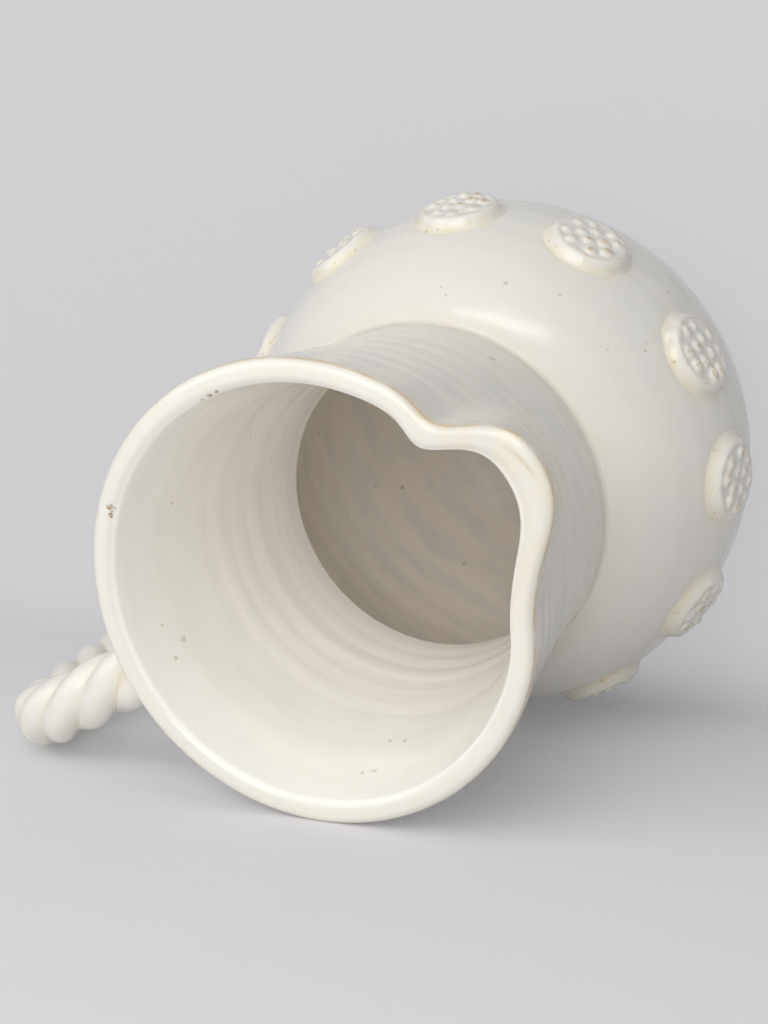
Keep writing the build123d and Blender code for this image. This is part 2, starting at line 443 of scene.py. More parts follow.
def work(piece, shape):
    """Shape a piece point by point, and keep the values that this gives for its glaze to read."""
    rows = [shape(point) for point in piece.data.vertices]
    for name in rows[0]:
        layer = piece.data.attributes.new(name, "FLOAT", "POINT")
        layer.data.foreach_set("value", [row[name] for row in rows])


def hand_in(piece, material, slot, *nodes):
    """Glaze a finished piece and let it stand for its CAD nodes."""
    piece.data.materials.clear()
    piece.data.materials.append(material)
    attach(piece, BODY)
    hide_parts(*nodes)


# Glazes


class Flow:
    """A value that flows through a material: arithmetic on it adds Math nodes."""

    def __init__(self, shader, socket):
        self.shader = shader
        self.socket = socket

    def __add__(self, other):
        return self.shader.math("ADD", self, other)

    def __sub__(self, other):
        return self.shader.math("SUBTRACT", self, other)

    def __rsub__(self, other):
        return self.shader.math("SUBTRACT", other, self)

    def __mul__(self, other):
        return self.shader.math("MULTIPLY", self, other)

    def __truediv__(self, other):
        return self.shader.math("DIVIDE", self, other)

    def __rtruediv__(self, other):
        return self.shader.math("DIVIDE", other, self)

    __radd__ = __add__
    __rmul__ = __mul__


class Shader:
    """The nodes of one material, or of the world."""

    def __init__(self, block):
        self.block = block
        block.use_nodes = True
        self.tree = block.node_tree
        self.tree.nodes.clear()

    def add(self, kind, settings, values, output=0):
        """Add a node: its settings first, then the values or links of its sockets."""
        node = self.tree.nodes.new("ShaderNode" + kind)
        for name, setting in settings.items():
            setattr(node, name, setting)
        for place, value in values.items():
            socket = node.inputs[place]
            if isinstance(value, Flow):
                self.tree.links.new(value.socket, socket)
            elif isinstance(socket.default_value, float):
                socket.default_value = value
            else:
                socket.default_value = (*value, 1.0)[: len(socket.default_value)]
        return Flow(self, node.outputs[output]) if len(node.outputs) else None

    def math(self, operation, *values):
        return self.add("Math", {"operation": operation}, dict(enumerate(values)))

    def place(self):
        return self.add("TexCoord", {}, {}, "Object")

    def kept(self, name):
        return self.add("Attribute", {"attribute_name": name}, {}, "Fac")

    def noise(self, place, scale, detail=2.0):
        return self.add("TexNoise", {}, {"Vector": place, "Scale": scale, "Detail": detail}, "Fac")

    def mix(self, factor, first, second):
        return self.add("Mix", {"data_type": "RGBA"}, {0: factor, 6: first, 7: second}, 2)

    def mix_surfaces(self, factor, first, second):
        return self.add("MixShader", {}, {0: factor, 1: first, 2: second})

    def ramp(self, value, low, high):
        """Smoothly from 0 at one value to 1 at another."""
        values = {"Value": value, "From Min": low, "From Max": high}
        return self.add("MapRange", {"interpolation_type": "SMOOTHSTEP"}, values)

    def part(self, vector, axis):
        return self.add("SeparateXYZ", {}, {0: vector}, axis)

    def finish(self, surface, output="OutputMaterial"):
        self.add(output, {}, {"Surface": surface})
        return self.block


class Glaze(Shader):
    """Tin-white glaze: clouded white, thin specks of iron, a soft skin."""

    # Scales of the patterns
    CLOUD, MOTTLE, DIPS, SKIN = 26.0, 130.0, 70.0, 420.0
    FINE_SPECKS, COARSE_SPECKS, PITS, RAGS = 150.0, 62.0, 520.0, 1300.0
    ROUND, STREAKS, SLANT = 1.6, 1.6, 0.15
    SKIN_DEPTH = 0.00022
    GLASS_IOR = 1.5
    MARK_SHARE = 0.46

    def __init__(self, name):
        super().__init__(bpy.data.materials.new(name))
        self.tones = tones = bpy.context.scene.jug_glaze
        self.where = self.place()
        cloud = self.noise(self.where, self.CLOUD, 3.0)
        mottle = self.noise(self.where, self.MOTTLE)
        self.base = self.mix(self.ramp(cloud, 0.35, 0.70) * 0.55, tones.white, tones.cool)
        self.tint(self.ramp(mottle, 0.50, 0.80) * 0.10, "cream")
        fine, fine_chance = self.dots(self.FINE_SPECKS, 0.20, 0.055)
        coarse, coarse_chance = self.dots(self.COARSE_SPECKS, 0.24, 0.050)
        specks = self.math("MAXIMUM", fine, coarse)
        rust = self.ramp(self.part(fine_chance, 2) + self.part(coarse_chance, 2), 0.5, 1.5)
        self.base = self.mix(specks * 0.50, self.base, self.mix(rust, tones.iron, tones.clay))
        skin = self.noise(self.where, self.SKIN)
        dips = self.noise(self.where, self.DIPS)
        self.height = skin * 0.10 + dips * 0.55 - specks * 0.35
        self.rough = 0.10 + mottle * 0.08 + specks * 0.25

    def dots(self, scale, share, size):
        """Round specks in a share of the cells of a pattern, and the random colour of each cell."""
        cells = {"Vector": self.where, "Scale": scale}
        far = self.add("TexVoronoi", {}, cells)
        chance = self.add("TexVoronoi", {}, cells, "Color")
        kept = self.math("LESS_THAN", self.part(chance, 0), share)
        wide = self.part(chance, 1) * size + size * 0.4
        return (1 - self.ramp(far / wide, 0.55, 1.0)) * kept, chance

    def patches(self, scale, detail, low, high):
        """Soft patches of noise that goes from 0 to 1 between two levels."""
        return self.ramp(self.noise(self.where, scale, detail), low, high)

    def swept(self, fine, detail):
        """Streaks drawn out round the jug, as a brush or a thumb goes on the wheel."""
        across, aside, up = (self.part(self.where, axis) for axis in range(3))
        radius = self.math("SQRT", across * across + aside * aside)
        turned = {
            0: across / radius * self.ROUND,
            1: aside / radius * self.ROUND,
            2: up * fine + across * (fine * self.SLANT),
        }
        return self.noise(self.add("CombineXYZ", {}, turned), self.STREAKS, detail)

    def stains(self, places):
        """Ragged marks round the given middles, each with its width."""
        ragged = self.noise(self.where, self.RAGS) - 0.5
        mask = 0.0
        for *middle, wide in places:
            ends = {0: self.where, 1: middle}
            far = self.add("VectorMath", {"operation": "DISTANCE"}, ends, "Value")
            mask = self.math("MAXIMUM", 1 - self.ramp(far / wide + ragged * 1.8, 0.25, 0.60), mask)
        return mask

    def tint(self, mask, tone):
        self.base = self.mix(mask, self.base, getattr(self.tones, tone))

    def mark(self, places):
        """Marks of use."""
        self.tint(self.stains(places) * self.MARK_SHARE, "stain")

    def pit(self, pool):
        """Pinholes that show the clay where the glaze pools."""
        holes = self.dots(self.PITS, 0.55, 0.30)[0]
        self.tint(holes * self.ramp(pool, 0.45, 0.95) * 0.55, "clay")

    def close(self):
        """Close the material as a glossy coat of glass over clay."""
        bump = self.add("Bump", {}, {"Strength": 1.0, "Distance": self.SKIN_DEPTH, "Height": self.height})
        values = {"Base Color": self.base, "Roughness": self.rough, "IOR": self.GLASS_IOR, "Normal": bump}
        return self.finish(self.add("BsdfPrincipled", {}, values))


# Marks of use in the glaze: middle and width
NECK_STAINS = (
    (0.0548, -0.0028, 0.1895, 0.0019), (0.0560, 0.0004, 0.1955, 0.0016), (0.0176, 0.0500, 0.1789, 0.0014),
    (0.0128, 0.0516, 0.1796, 0.0014), (0.0205, 0.0520, 0.1947, 0.0014), (0.0173, 0.0530, 0.1939, 0.0016),
    (0.0005, 0.0474, 0.1374, 0.0013), (0.0240, -0.0432, 0.1549, 0.0010), (0.0383, -0.0381, 0.1848, 0.0012),
    (0.0551, -0.0093, 0.1947, 0.0010), (0.0573, 0.0217, 0.2095, 0.0013), (-0.0465, -0.0297, 0.1351, 0.0020),
)
LIP_CHIPS = (
    (0.0398, -0.0455, 0.2092, 0.0019), (0.0412, -0.0436, 0.2090, 0.0013), (-0.0049, -0.0587, 0.2083, 0.0015),
    (-0.0020, -0.0588, 0.2081, 0.0011), (-0.0075, -0.0587, 0.2085, 0.0011),
)
BELLY_STAINS = (
    (0.0577, -0.0011, 0.0306, 0.0016), (0.0629, -0.0062, 0.0376, 0.0011), (0.0501, 0.0320, 0.0329, 0.0012),
    (0.0634, -0.0321, 0.0529, 0.0011), (-0.0489, -0.0464, 0.1081, 0.0014), (-0.0336, -0.0516, 0.1155, 0.0010),
    (-0.0665, -0.0153, 0.1069, 0.0010), (-0.0733, -0.0111, 0.0961, 0.0009),
    (-0.0728, -0.0094, 0.0976, 0.0008),
)


def belly_glaze():
    glaze = Glaze("belly_glaze")
    uneven = glaze.patches(210.0, 3.0, 0.30, 0.70)
    pool = glaze.kept("pool")
    glaze.tint(pool * (0.30 + uneven * 0.50), "cream")
    glaze.pit(pool)
    strokes = glaze.ramp(glaze.swept(150.0, 3.0), 0.38, 0.60)
    inside = glaze.kept("inside")
    # Painted light: the inside of the belly is lightened and warmed.
    glaze.tint(inside * (0.80 + strokes * 0.20), "deep")
    glaze.tint(inside * (1 - strokes) * 0.13, "wiped_and_shade")
    glaze.mark(BELLY_STAINS)
    foot = glaze.kept("foot")
    glaze.tint(foot, "bare")
    glaze.rough = glaze.rough + foot * 0.55 + inside * 0.20
    return glaze.close()


def neck_glaze():
    glaze = Glaze("neck_glaze")
    outside = glaze.kept("outside")
    inside = glaze.kept("inside")
    up = glaze.part(glaze.where, 2)
    streak = glaze.swept(260.0, 3.0)
    broad = glaze.swept(120.0, 2.0)
    patchy = glaze.patches(34.0, 2.0, 0.30, 0.65)
    # Grey between the brush streaks on the neck's outside: partly thin glaze, partly painted shade that
    # leaves the whole outside of the neck greyer than the belly.
    thin = 1 - glaze.ramp(broad * 0.6 + streak * 0.4, 0.40, 0.58)
    glaze.tint(thin * outside * (0.16 + patchy * 0.30), "wiped_and_shade")
    worn = glaze.patches(120.0, 4.0, 0.30, 0.62)
    lip = glaze.ramp(up, NECK_TOP - 0.0060, NECK_TOP - 0.0015) * (1 - inside)
    spout = glaze.ramp(glaze.part(glaze.where, 0), -0.046, -0.062)
    # Painted shade: the lip at the spout is greyed down.
    glaze.tint(lip * spout * 0.45, "wiped_and_shade")
    glaze.tint(lip * (0.02 + worn * 0.12 + spout * worn * 0.36), "cream")
    glaze.tint(glaze.kept("edge") * (0.30 + worn * 0.60), "clay")
    glaze.tint(glaze.kept("pool") * 0.30, "cream")
    # Painted light: the inside of the neck is lightened, and warmed lower down towards the throat.
    glaze.tint(inside * (0.86 + glaze.ramp(broad, 0.35, 0.60) * 0.14), "inner")
    glaze.tint(inside * glaze.ramp(up, 0.175, 0.115) * 0.40, "deep")
    glaze.mark(NECK_STAINS)
    chips = glaze.stains(LIP_CHIPS)
    glaze.tint(chips * 0.80, "clay")
    glaze.tint(chips * glaze.patches(1500.0, 2.0, 0.45, 0.65) * 0.7, "iron")
    glaze.rough = glaze.rough + chips * 0.5
    glaze.height = glaze.height + (streak * 0.25 + broad * 0.30) * outside - chips * 1.2
    return glaze.close()


def rope_glaze():
    glaze = Glaze("rope_glaze")
    uneven = glaze.patches(170.0, 3.0, 0.35, 0.70)
    groove = glaze.kept("groove")
    glaze.tint(groove * (0.15 + uneven * 0.45), "cream")
    glaze.tint(glaze.ramp(groove, 0.85, 1.0) * (0.04 + uneven * 0.18), "clay")
    return glaze.close()


def boss_glaze():
    glaze = Glaze("boss_glaze")
    worn = glaze.patches(330.0, 3.0, 0.40, 0.66)
    # Painted shade: grey in the valleys between the nubs, partly glaze lying thicker there.
    glaze.tint(glaze.kept("valley") * 0.22, "wiped_and_shade")
    glaze.tint(glaze.kept("tip") * (0.10 + worn * 0.60), "clay")
    glaze.tint(glaze.kept("edge") * (0.10 + worn * 0.40), "clay")
    pool = glaze.kept("pool")
    glaze.tint(pool * (0.45 + worn * 0.45), "cream")
    glaze.pit(pool)
    return glaze.close()


# Pieces


class JUG_OT_belly(bpy.types.Operator):
    """Throw the hollow belly on its foot"""

    bl_idname = "jug.belly"
    bl_label = "Belly"

    FOOT_ARC = radians(-70)
    FOOT_SIDE = ((0.0, 0.60), (0.0001, 0.85), (0.0003, 1.03))  # drawn in by, at shares of its height
    GLOBE_START = (0.53, 1.25)  # in radii of the belly, and in heights of the foot
    MOUTH_EDGE = ((0.002, 0.0002), (0.0, 0.0006))  # out from the mouth, and down from the crease
    INNER_SHARE = 0.955  # what is nearer to the globe's middle than this lies inside
    FLOOR_MIDDLE = 0.012  # no rings within this radius
    FOOT_LEVEL = 0.006  # the wall is uneven above this level
    PAD_BAND, PAD_FACING = 0.024, 0.94  # how near to a pad's level and side glaze can pool round it
    PAD_POOL, PAD_POOL_WIDTH = 0.0008, 0.0022  # out from the pad
    CREASE_POOL, CREASE_POOL_WIDTH = 0.35, 0.008
    BARE = (0.0004, 0.0012)  # levels between which the bare clay of the foot ends

    def profile(self, form):
        """The belly's outline as radii and heights: foot, globe, mouth and inside."""
        belly = form.belly
        neck = form.neck
        foot = belly.foot_radius
        bevel = belly.foot_bevel
        globe = (0, form.middle)
        line = [(radius, 0.0) for radius in between(0.0, foot, 8)[:-1]]
        line += [(foot - bevel, 0.0)]
        line += arc((foot - bevel, bevel), bevel, bevel, self.FOOT_ARC, 0, 5)
        line += [(foot - draft, belly.foot_height * share) for draft, share in self.FOOT_SIDE]
        across, up = self.GLOBE_START
        low = atan2((belly.foot_height * up - form.middle) / belly.half_height, across)
        high = atan2((form.root - form.middle) / belly.half_height, neck.root_radius / belly.radius)
        line += arc(globe, belly.radius, belly.half_height, low, high, 104)
        line += [(neck.mouth_radius + out, form.root - down) for out, down in self.MOUTH_EDGE]
        mouth = atan2((form.edge - form.middle) / form.inner_high, neck.mouth_radius / form.inner)
        line += arc(globe, form.inner, form.inner_high, mouth, 0, 34)
        line += arc(globe, form.inner, form.middle - belly.floor, 0, -pi / 2, 50)[1:-1]
        return line + [(0.0, belly.floor)]

    def swell(self, form, radius, height, turn, within):
        """How far the throwing rings and an uneven hand push the wall out."""
        belly = form.belly
        rings = tau * height / belly.ring_pitch
        if within and radius > self.FLOOR_MIDDLE:
            waves = sin(rings + turn + 0.6 * sin(2 * turn)) + 0.7 * sin(rings / 1.63 + 2.0 + turn)
            return belly.ring_depth * waves * smooth_step(height, belly.floor, 0.030)
        if not within and height > self.FOOT_LEVEL:
            uneven = 0.00012 * sin(2 * turn + 0.7) * sin(pi * height / form.root)
            return uneven + 0.00005 * sin(rings + turn)
        return 0.0

    def pool(self, form, seats, point, radius, height, turn):
        """Glaze that pools in the crease under the neck and round the pads."""
        crease = hypot(radius - form.neck.root_radius, height - form.root)
        filled = self.CREASE_POOL * hump(crease, 0.0, self.CREASE_POOL_WIDTH)
        if abs(height - form.boss_level) < self.PAD_BAND:
            for seat_turn, seat in seats:
                if cos(turn - seat_turn) > self.PAD_FACING:
                    place = seat @ point.co
                    far = hypot(place.x, place.y)
                    near = hump(far, form.bosses.radius + self.PAD_POOL, self.PAD_POOL_WIDTH)
                    filled = max(filled, near * pooled(place, far))
        return filled

    def execute(self, context):
        form = Form()
        belly = form.belly
        piece = throw("thrown_belly", self.profile(form), belly.steps)
        seats = [(turn, form.boss_frame(turn).inverted()) for turn in form.boss_turns()]

        def shape(point):
            radius = hypot(point.co.x, point.co.y)
            height = point.co.z
            turn = atan2(point.co.y, point.co.x)
            share = (radius / belly.radius) ** 2 + ((height - form.middle) / belly.half_height) ** 2
            within = share < self.INNER_SHARE and height > belly.floor * 0.9
            push(point, self.swell(form, radius, height, turn, within))
            if within:
                return {"pool": 0.0, "inside": 1.0, "foot": 0.0}
            pool = self.pool(form, seats, point, radius, height, turn)
            return {"pool": pool, "inside": 0.0, "foot": 1.0 - smooth_step(height, *self.BARE)}

        work(piece, shape)
        hand_in(piece, belly_glaze(), "white_glaze", "belly")
        return {"FINISHED"}


class JUG_OT_neck(bpy.types.Operator):
    """Throw the flared neck and pinch its spout"""

    bl_idname = "jug.neck"
    bl_label = "Neck"

    INNER_LEAN, OUTER_LEAN = radians(11.7), radians(11.0)  # of the bore and the wall at the lip
    SEAT_ROOM = 0.0001  # between the spigot's end and the belly's edge
    SPIGOT_DROP = 0.0006  # from the crease to the spigot's top
    SPIGOT_FACE = 0.0006  # flat part of the spigot's end
    SLIP_EDGE = (0.0006, 0.0007)  # out and down from the end of the slip's round
    SLIP_BACK = ((0.0006, 0.0022), (-0.0020, 0.0016))  # out from the root, and down from the crease
    BELOW_LIP = 0.004  # the rings end here
    OUTER_PITCH, OUTER_DEPTH = 0.011, 0.00005  # faint rings outside
    POOL_WIDTH = 0.0035
    OUTER_LINE, OUTER_LINE_WIDTH = (0.0003, 0.0019), 0.00072  # in from the rim, and down from the top
    INNER_LINE, INNER_LINE_WIDTH = (-0.0001, 0.0018), 0.0005  # in from the bore, and down from the top
    FOLD_DROP, FOLD_TURNS = 0.0006, (0.02, 0.17)

    def profile(self, form):
        """The neck's outline as radii and heights: spigot, bore, lip, outside and the slip in the crease."""
        neck = form.neck
        top = form.top
        root = form.root
        low = form.edge + self.SEAT_ROOM
        bend = neck.throat_round
        inner_round = neck.lip_inner_round
        outer_round = neck.lip_outer_round
        spigot_top = (neck.spigot_radius, root - self.SPIGOT_DROP)
        line = [spigot_top, (neck.spigot_radius, low), (neck.throat_radius + bend + self.SPIGOT_FACE, low)]
        line += arc((form.bore_radius_at(low + bend) + bend, low + bend), bend, bend, -pi / 2, -pi, 7)
        bore_top = top - inner_round + inner_round * sin(self.INNER_LEAN)
        line += [(form.bore_radius_at(height), height) for height in between(low + bend, bore_top, 105)[1:-1]]
        inner = form.bore_radius_at(bore_top) + inner_round * cos(self.INNER_LEAN)
        line += arc((inner, top - inner_round), inner_round, inner_round, pi - self.INNER_LEAN, pi / 2, 20)
        wall_top = top - outer_round - outer_round * sin(self.OUTER_LEAN)
        outer = form.neck_radius_at(wall_top) - outer_round * cos(self.OUTER_LEAN)
        line += [(radius, top) for radius in between(inner, outer, 4)[1:-1]]
        line += arc((outer, top - outer_round), outer_round, outer_round, pi / 2, -self.OUTER_LEAN, 24)
        fillet = neck.crease_round
        belly = form.belly
        slope = atan2(belly.half_height**2 * neck.root_radius, belly.radius**2 * (root - form.middle))
        fillet_turn = pi / 2 - slope
        toe = root + fillet * sin(fillet_turn) / (1 + cos(fillet_turn))
        line += [(form.neck_radius_at(height), height) for height in between(wall_top, toe, 79)[1:]]
        line += arc((neck.root_radius + fillet, toe), fillet, fillet, pi, pi + fillet_turn, 8)[1:]
        line += [(line[-1][0] + self.SLIP_EDGE[0], line[-1][1] - self.SLIP_EDGE[1])]
        line += [(neck.root_radius + out, root - down) for out, down in self.SLIP_BACK]
        return line + [spigot_top]

    def rings(self, form, height, turn, share):
        """Throwing rings in the bore, strongest over the throat."""
        rings = tau * height / form.neck.ring_pitch
        strong = 0.08 + 0.92 * smooth_step(share, -0.05, 0.06) * (1 - smooth_step(share, 0.22, 0.80))
        wander = turn + 0.5 * sin(2 * turn + 1.0) + 0.3 * sin(3 * turn)
        patchy = 0.65 + 0.35 * sin(turn * 2 + height * 90.0)
        waves = sin(rings + wander) * patchy + 0.7 * sin(rings / 1.71 + wander + 1.7)
        waves += 0.16 * sin(rings / 0.43 - turn)
        return form.neck.ring_depth * strong * waves

    def thin_lines(self, form, radius, height, turn, across):
        """Lines of thin glaze: the lip's two edges and the fold in the spout."""
        rim = form.neck.rim_radius
        down = form.top - height
        inset, drop = self.OUTER_LINE
        outer = hump(hypot(radius - rim + inset, down - drop), 0.0, self.OUTER_LINE_WIDTH)
        inset, drop = self.INNER_LINE
        inner = hump(hypot(radius - rim + form.neck.lip + inset, down - drop), 0.0, self.INNER_LINE_WIDTH)
        fold = 0.0
        first, last = self.FOLD_TURNS
        if down < self.FOLD_DROP and first < turn < last:
            fold = hump(across, 0.36 + 0.9 * (turn - first), 0.05) * hump(turn, 0.09, 0.06)
        return max(outer, 0.6 * inner, 0.65 * fold)

    def execute(self, context):
        form = Form()
        neck = form.neck
        top = form.top
        root = form.root
        piece = throw("thrown_neck", self.profile(form), neck.steps)

        def shape(point):
            radius = hypot(point.co.x, point.co.y)
            height = point.co.z
            turn = atan2(-point.co.y, -point.co.x)
            outer = form.neck_radius_at(height)
            across = min(1.0, max(0.0, (outer - radius) / (outer - form.bore_radius_at(height))))
            share = (height - root) / (top - root)
            fade = max(0.0, (share - neck.spout_start) / (1 - neck.spout_start)) ** neck.spout_ease
            swell = fade * form.spout_reach(turn, neck.nose_reach - across * neck.nose_lip)
            if across > 0.9 and height < top - self.BELOW_LIP:
                swell += self.rings(form, height, turn, share)
            elif across < 0.1 and share > 0.02:
                rings = sin(tau * height / self.OUTER_PITCH + turn)
                swell += self.OUTER_DEPTH * rings * smooth_step(share, 0.02, 0.10)
            push(point, swell)
            return {
                "outside": 1.0 - smooth_step(across, 0.05, 0.20) if share > 0.01 else 0.0,
                "edge": self.thin_lines(form, radius, height, turn, across),
                "pool": hump(height, root, self.POOL_WIDTH) if across < 0.2 else 0.0,
                "inside": smooth_step(across, 0.85, 0.98),
            }

        work(piece, shape)
        hand_in(piece, neck_glaze(), "white_glaze", "neck")
        return {"FINISHED"}


class JUG_OT_rope(bpy.types.Operator):
    """Roll the strands of the handle and twist them together"""

    bl_idname = "jug.rope"
    bl_label = "Rope handle"

    LINE_STEPS = 400  # places on the rope's middle line
    POINTS = 120  # steps along a strand
    TUCK = 0.0015  # how far a strand's end reaches into its root
    SOFT = 0.0022  # softness of the filled grooves
    LEAST = 0.0005  # nearest distance from the rope's middle that is reckoned with
    GROOVE = (0.0042, 0.0010)  # where a groove is full and where it ends, in from the rope's outside

    def roll(self, form, strand):
        """One strand: a path with a round section, a little uneven, made a mesh."""
        rope = form.rope
        clear_selection()
        bpy.ops.curve.primitive_nurbs_path_add(location=(0, 0, 0))
        path = bpy.context.object
        spline = path.data.splines[0]
        spline.points.add(self.POINTS + 1 - len(spline.points))
        first = rope.root_length - self.TUCK
        places = between(first, form.handle_length - first, self.POINTS)
        phase = rope.start + tau * strand / rope.strands
        for along, point in zip(places, spline.points):
            point.co = (*form.strand_place(along, phase), 1.0)
            uneven = 0.029 * sin(along * 310.0 + 2.1 * strand) + 0.016 * sin(along * 745.0 + strand)
            point.radius = 0.985 + uneven
        spline.order_u = 4
        spline.use_endpoint_u = True
        spline.resolution_u = 3
        path.data.bevel_depth = rope.strand_radius + rope.press
        path.data.bevel_resolution = 12
        path.data.use_fill_caps = True
        bpy.ops.object.convert(target="MESH")
        piece = bpy.context.object
        call(piece, f"rolled_strand_{strand + 1}")
        bpy.ops.object.mode_set(mode="EDIT")
        close_mesh()
        return piece

    def fill_grooves(self, form, piece, line):
        """Let glaze fill the grooves between the strands, and keep how deep each point lies."""
        rope = form.rope
        outer = rope.lay_circle + rope.strand_radius

        def softly(below):
            return (sqrt(below * below + self.SOFT * self.SOFT) - below) / 2

        normals = [Vector(point.normal) for point in piece.data.vertices]

        def fill(point):
            middle, step = line.find(point.co)[:2]
            ahead = form.handle_place(form.handle_length * step / self.LINE_STEPS)[1]
            out = point.co - middle
            out -= ahead * out.dot(ahead)
            far = out.length
            lift = softly(far - rope.groove_floor) - softly(outer - rope.groove_floor)
            out /= max(far, self.LEAST)
            facing = smooth_step(normals[point.index].dot(out), -0.55, 0.05)
            point.co += out * (max(0.0, lift) * facing)
            return {"groove": 1 - smooth_step(far, *(outer - inset for inset in self.GROOVE))}

        work(piece, fill)

    def execute(self, context):
        form = Form()
        line = KDTree(self.LINE_STEPS + 1)
        for step, along in enumerate(between(0.0, form.handle_length, self.LINE_STEPS)):
            line.insert(form.handle_place(along)[0], step)
        line.balance()
        glaze = rope_glaze()
        for strand in range(form.rope.strands):
            piece = self.roll(form, strand)
            self.fill_grooves(form, piece, line)
            hand_in(piece, glaze, "white_glaze", f"handle_strand_{strand + 1}")
        return {"FINISHED"}


class JUG_OT_roots(bpy.types.Operator):
    """Press the handle's two roots onto the neck and the belly"""

    bl_idname = "jug.roots"
    bl_label = "Handle roots"

    STEPS = 96
    EDGE = 0.0010  # depth of the rounded edge of the face
    FLARE_POWER = 2.6

    def profile(self, rope):
        """A root's outline: depths behind its face, and distances from its middle."""
        near = rope.lay_circle + rope.strand_radius
        deep = rope.root_length
        line = [(0.0002, up) for up in between(0.0, near * 0.5, 3)]
        line += [(0.0004, near * 0.84), (self.EDGE, near * 0.97)]
        for share in between(0.0, 1.0, 14)[1:]:
            spread = near + 0.0004 + rope.root_flare * share**self.FLARE_POWER
            line.append((self.EDGE + (deep - 0.0012) * share, spread))
        line += [(deep + 0.0012, near + rope.root_flare * 1.05), (deep + 0.0030, near), (deep + 0.0030, 0.0)]
        return line

    def execute(self, context):
        form = Form()
        rope = form.rope
        glaze = rope_glaze()
        levels = (
            ("upper", form.top - rope.below_lip, form.neck_radius_at),
            ("lower", form.boss_level, form.belly_radius_at),
        )
        for which, level, wall in levels:
            seat = wall(level)
            face = seat + rope.root_length
            line = [(face - behind, 0.0, level + up) for behind, up in self.profile(rope)]
            piece = turn_line(f"pressed_root_{which}", line, (0, 0, level), (1, 0, 0), self.STEPS)

            def shape(point):
                turn = atan2(point.co.z - level, point.co.y)
                share = 1 - smooth_step(point.co.x, seat + 0.0005, face - 0.0015)
                uneven = 1 + 0.035 * share * sin(3 * turn + 0.8) + 0.02 * share * sin(7 * turn)
                point.co.y *= uneven
                point.co.z = level + (point.co.z - level) * uneven
                round_wall = sqrt(max(0.0, wall(point.co.z) ** 2 - point.co.y**2))
                point.co.x += (round_wall - seat) * share
                return {"groove": 0.75 * smooth_step(share, 0.55, 1.0)}

            work(piece, shape)
            hand_in(piece, glaze, "white_glaze", f"handle_root_{which}")
        return {"FINISHED"}


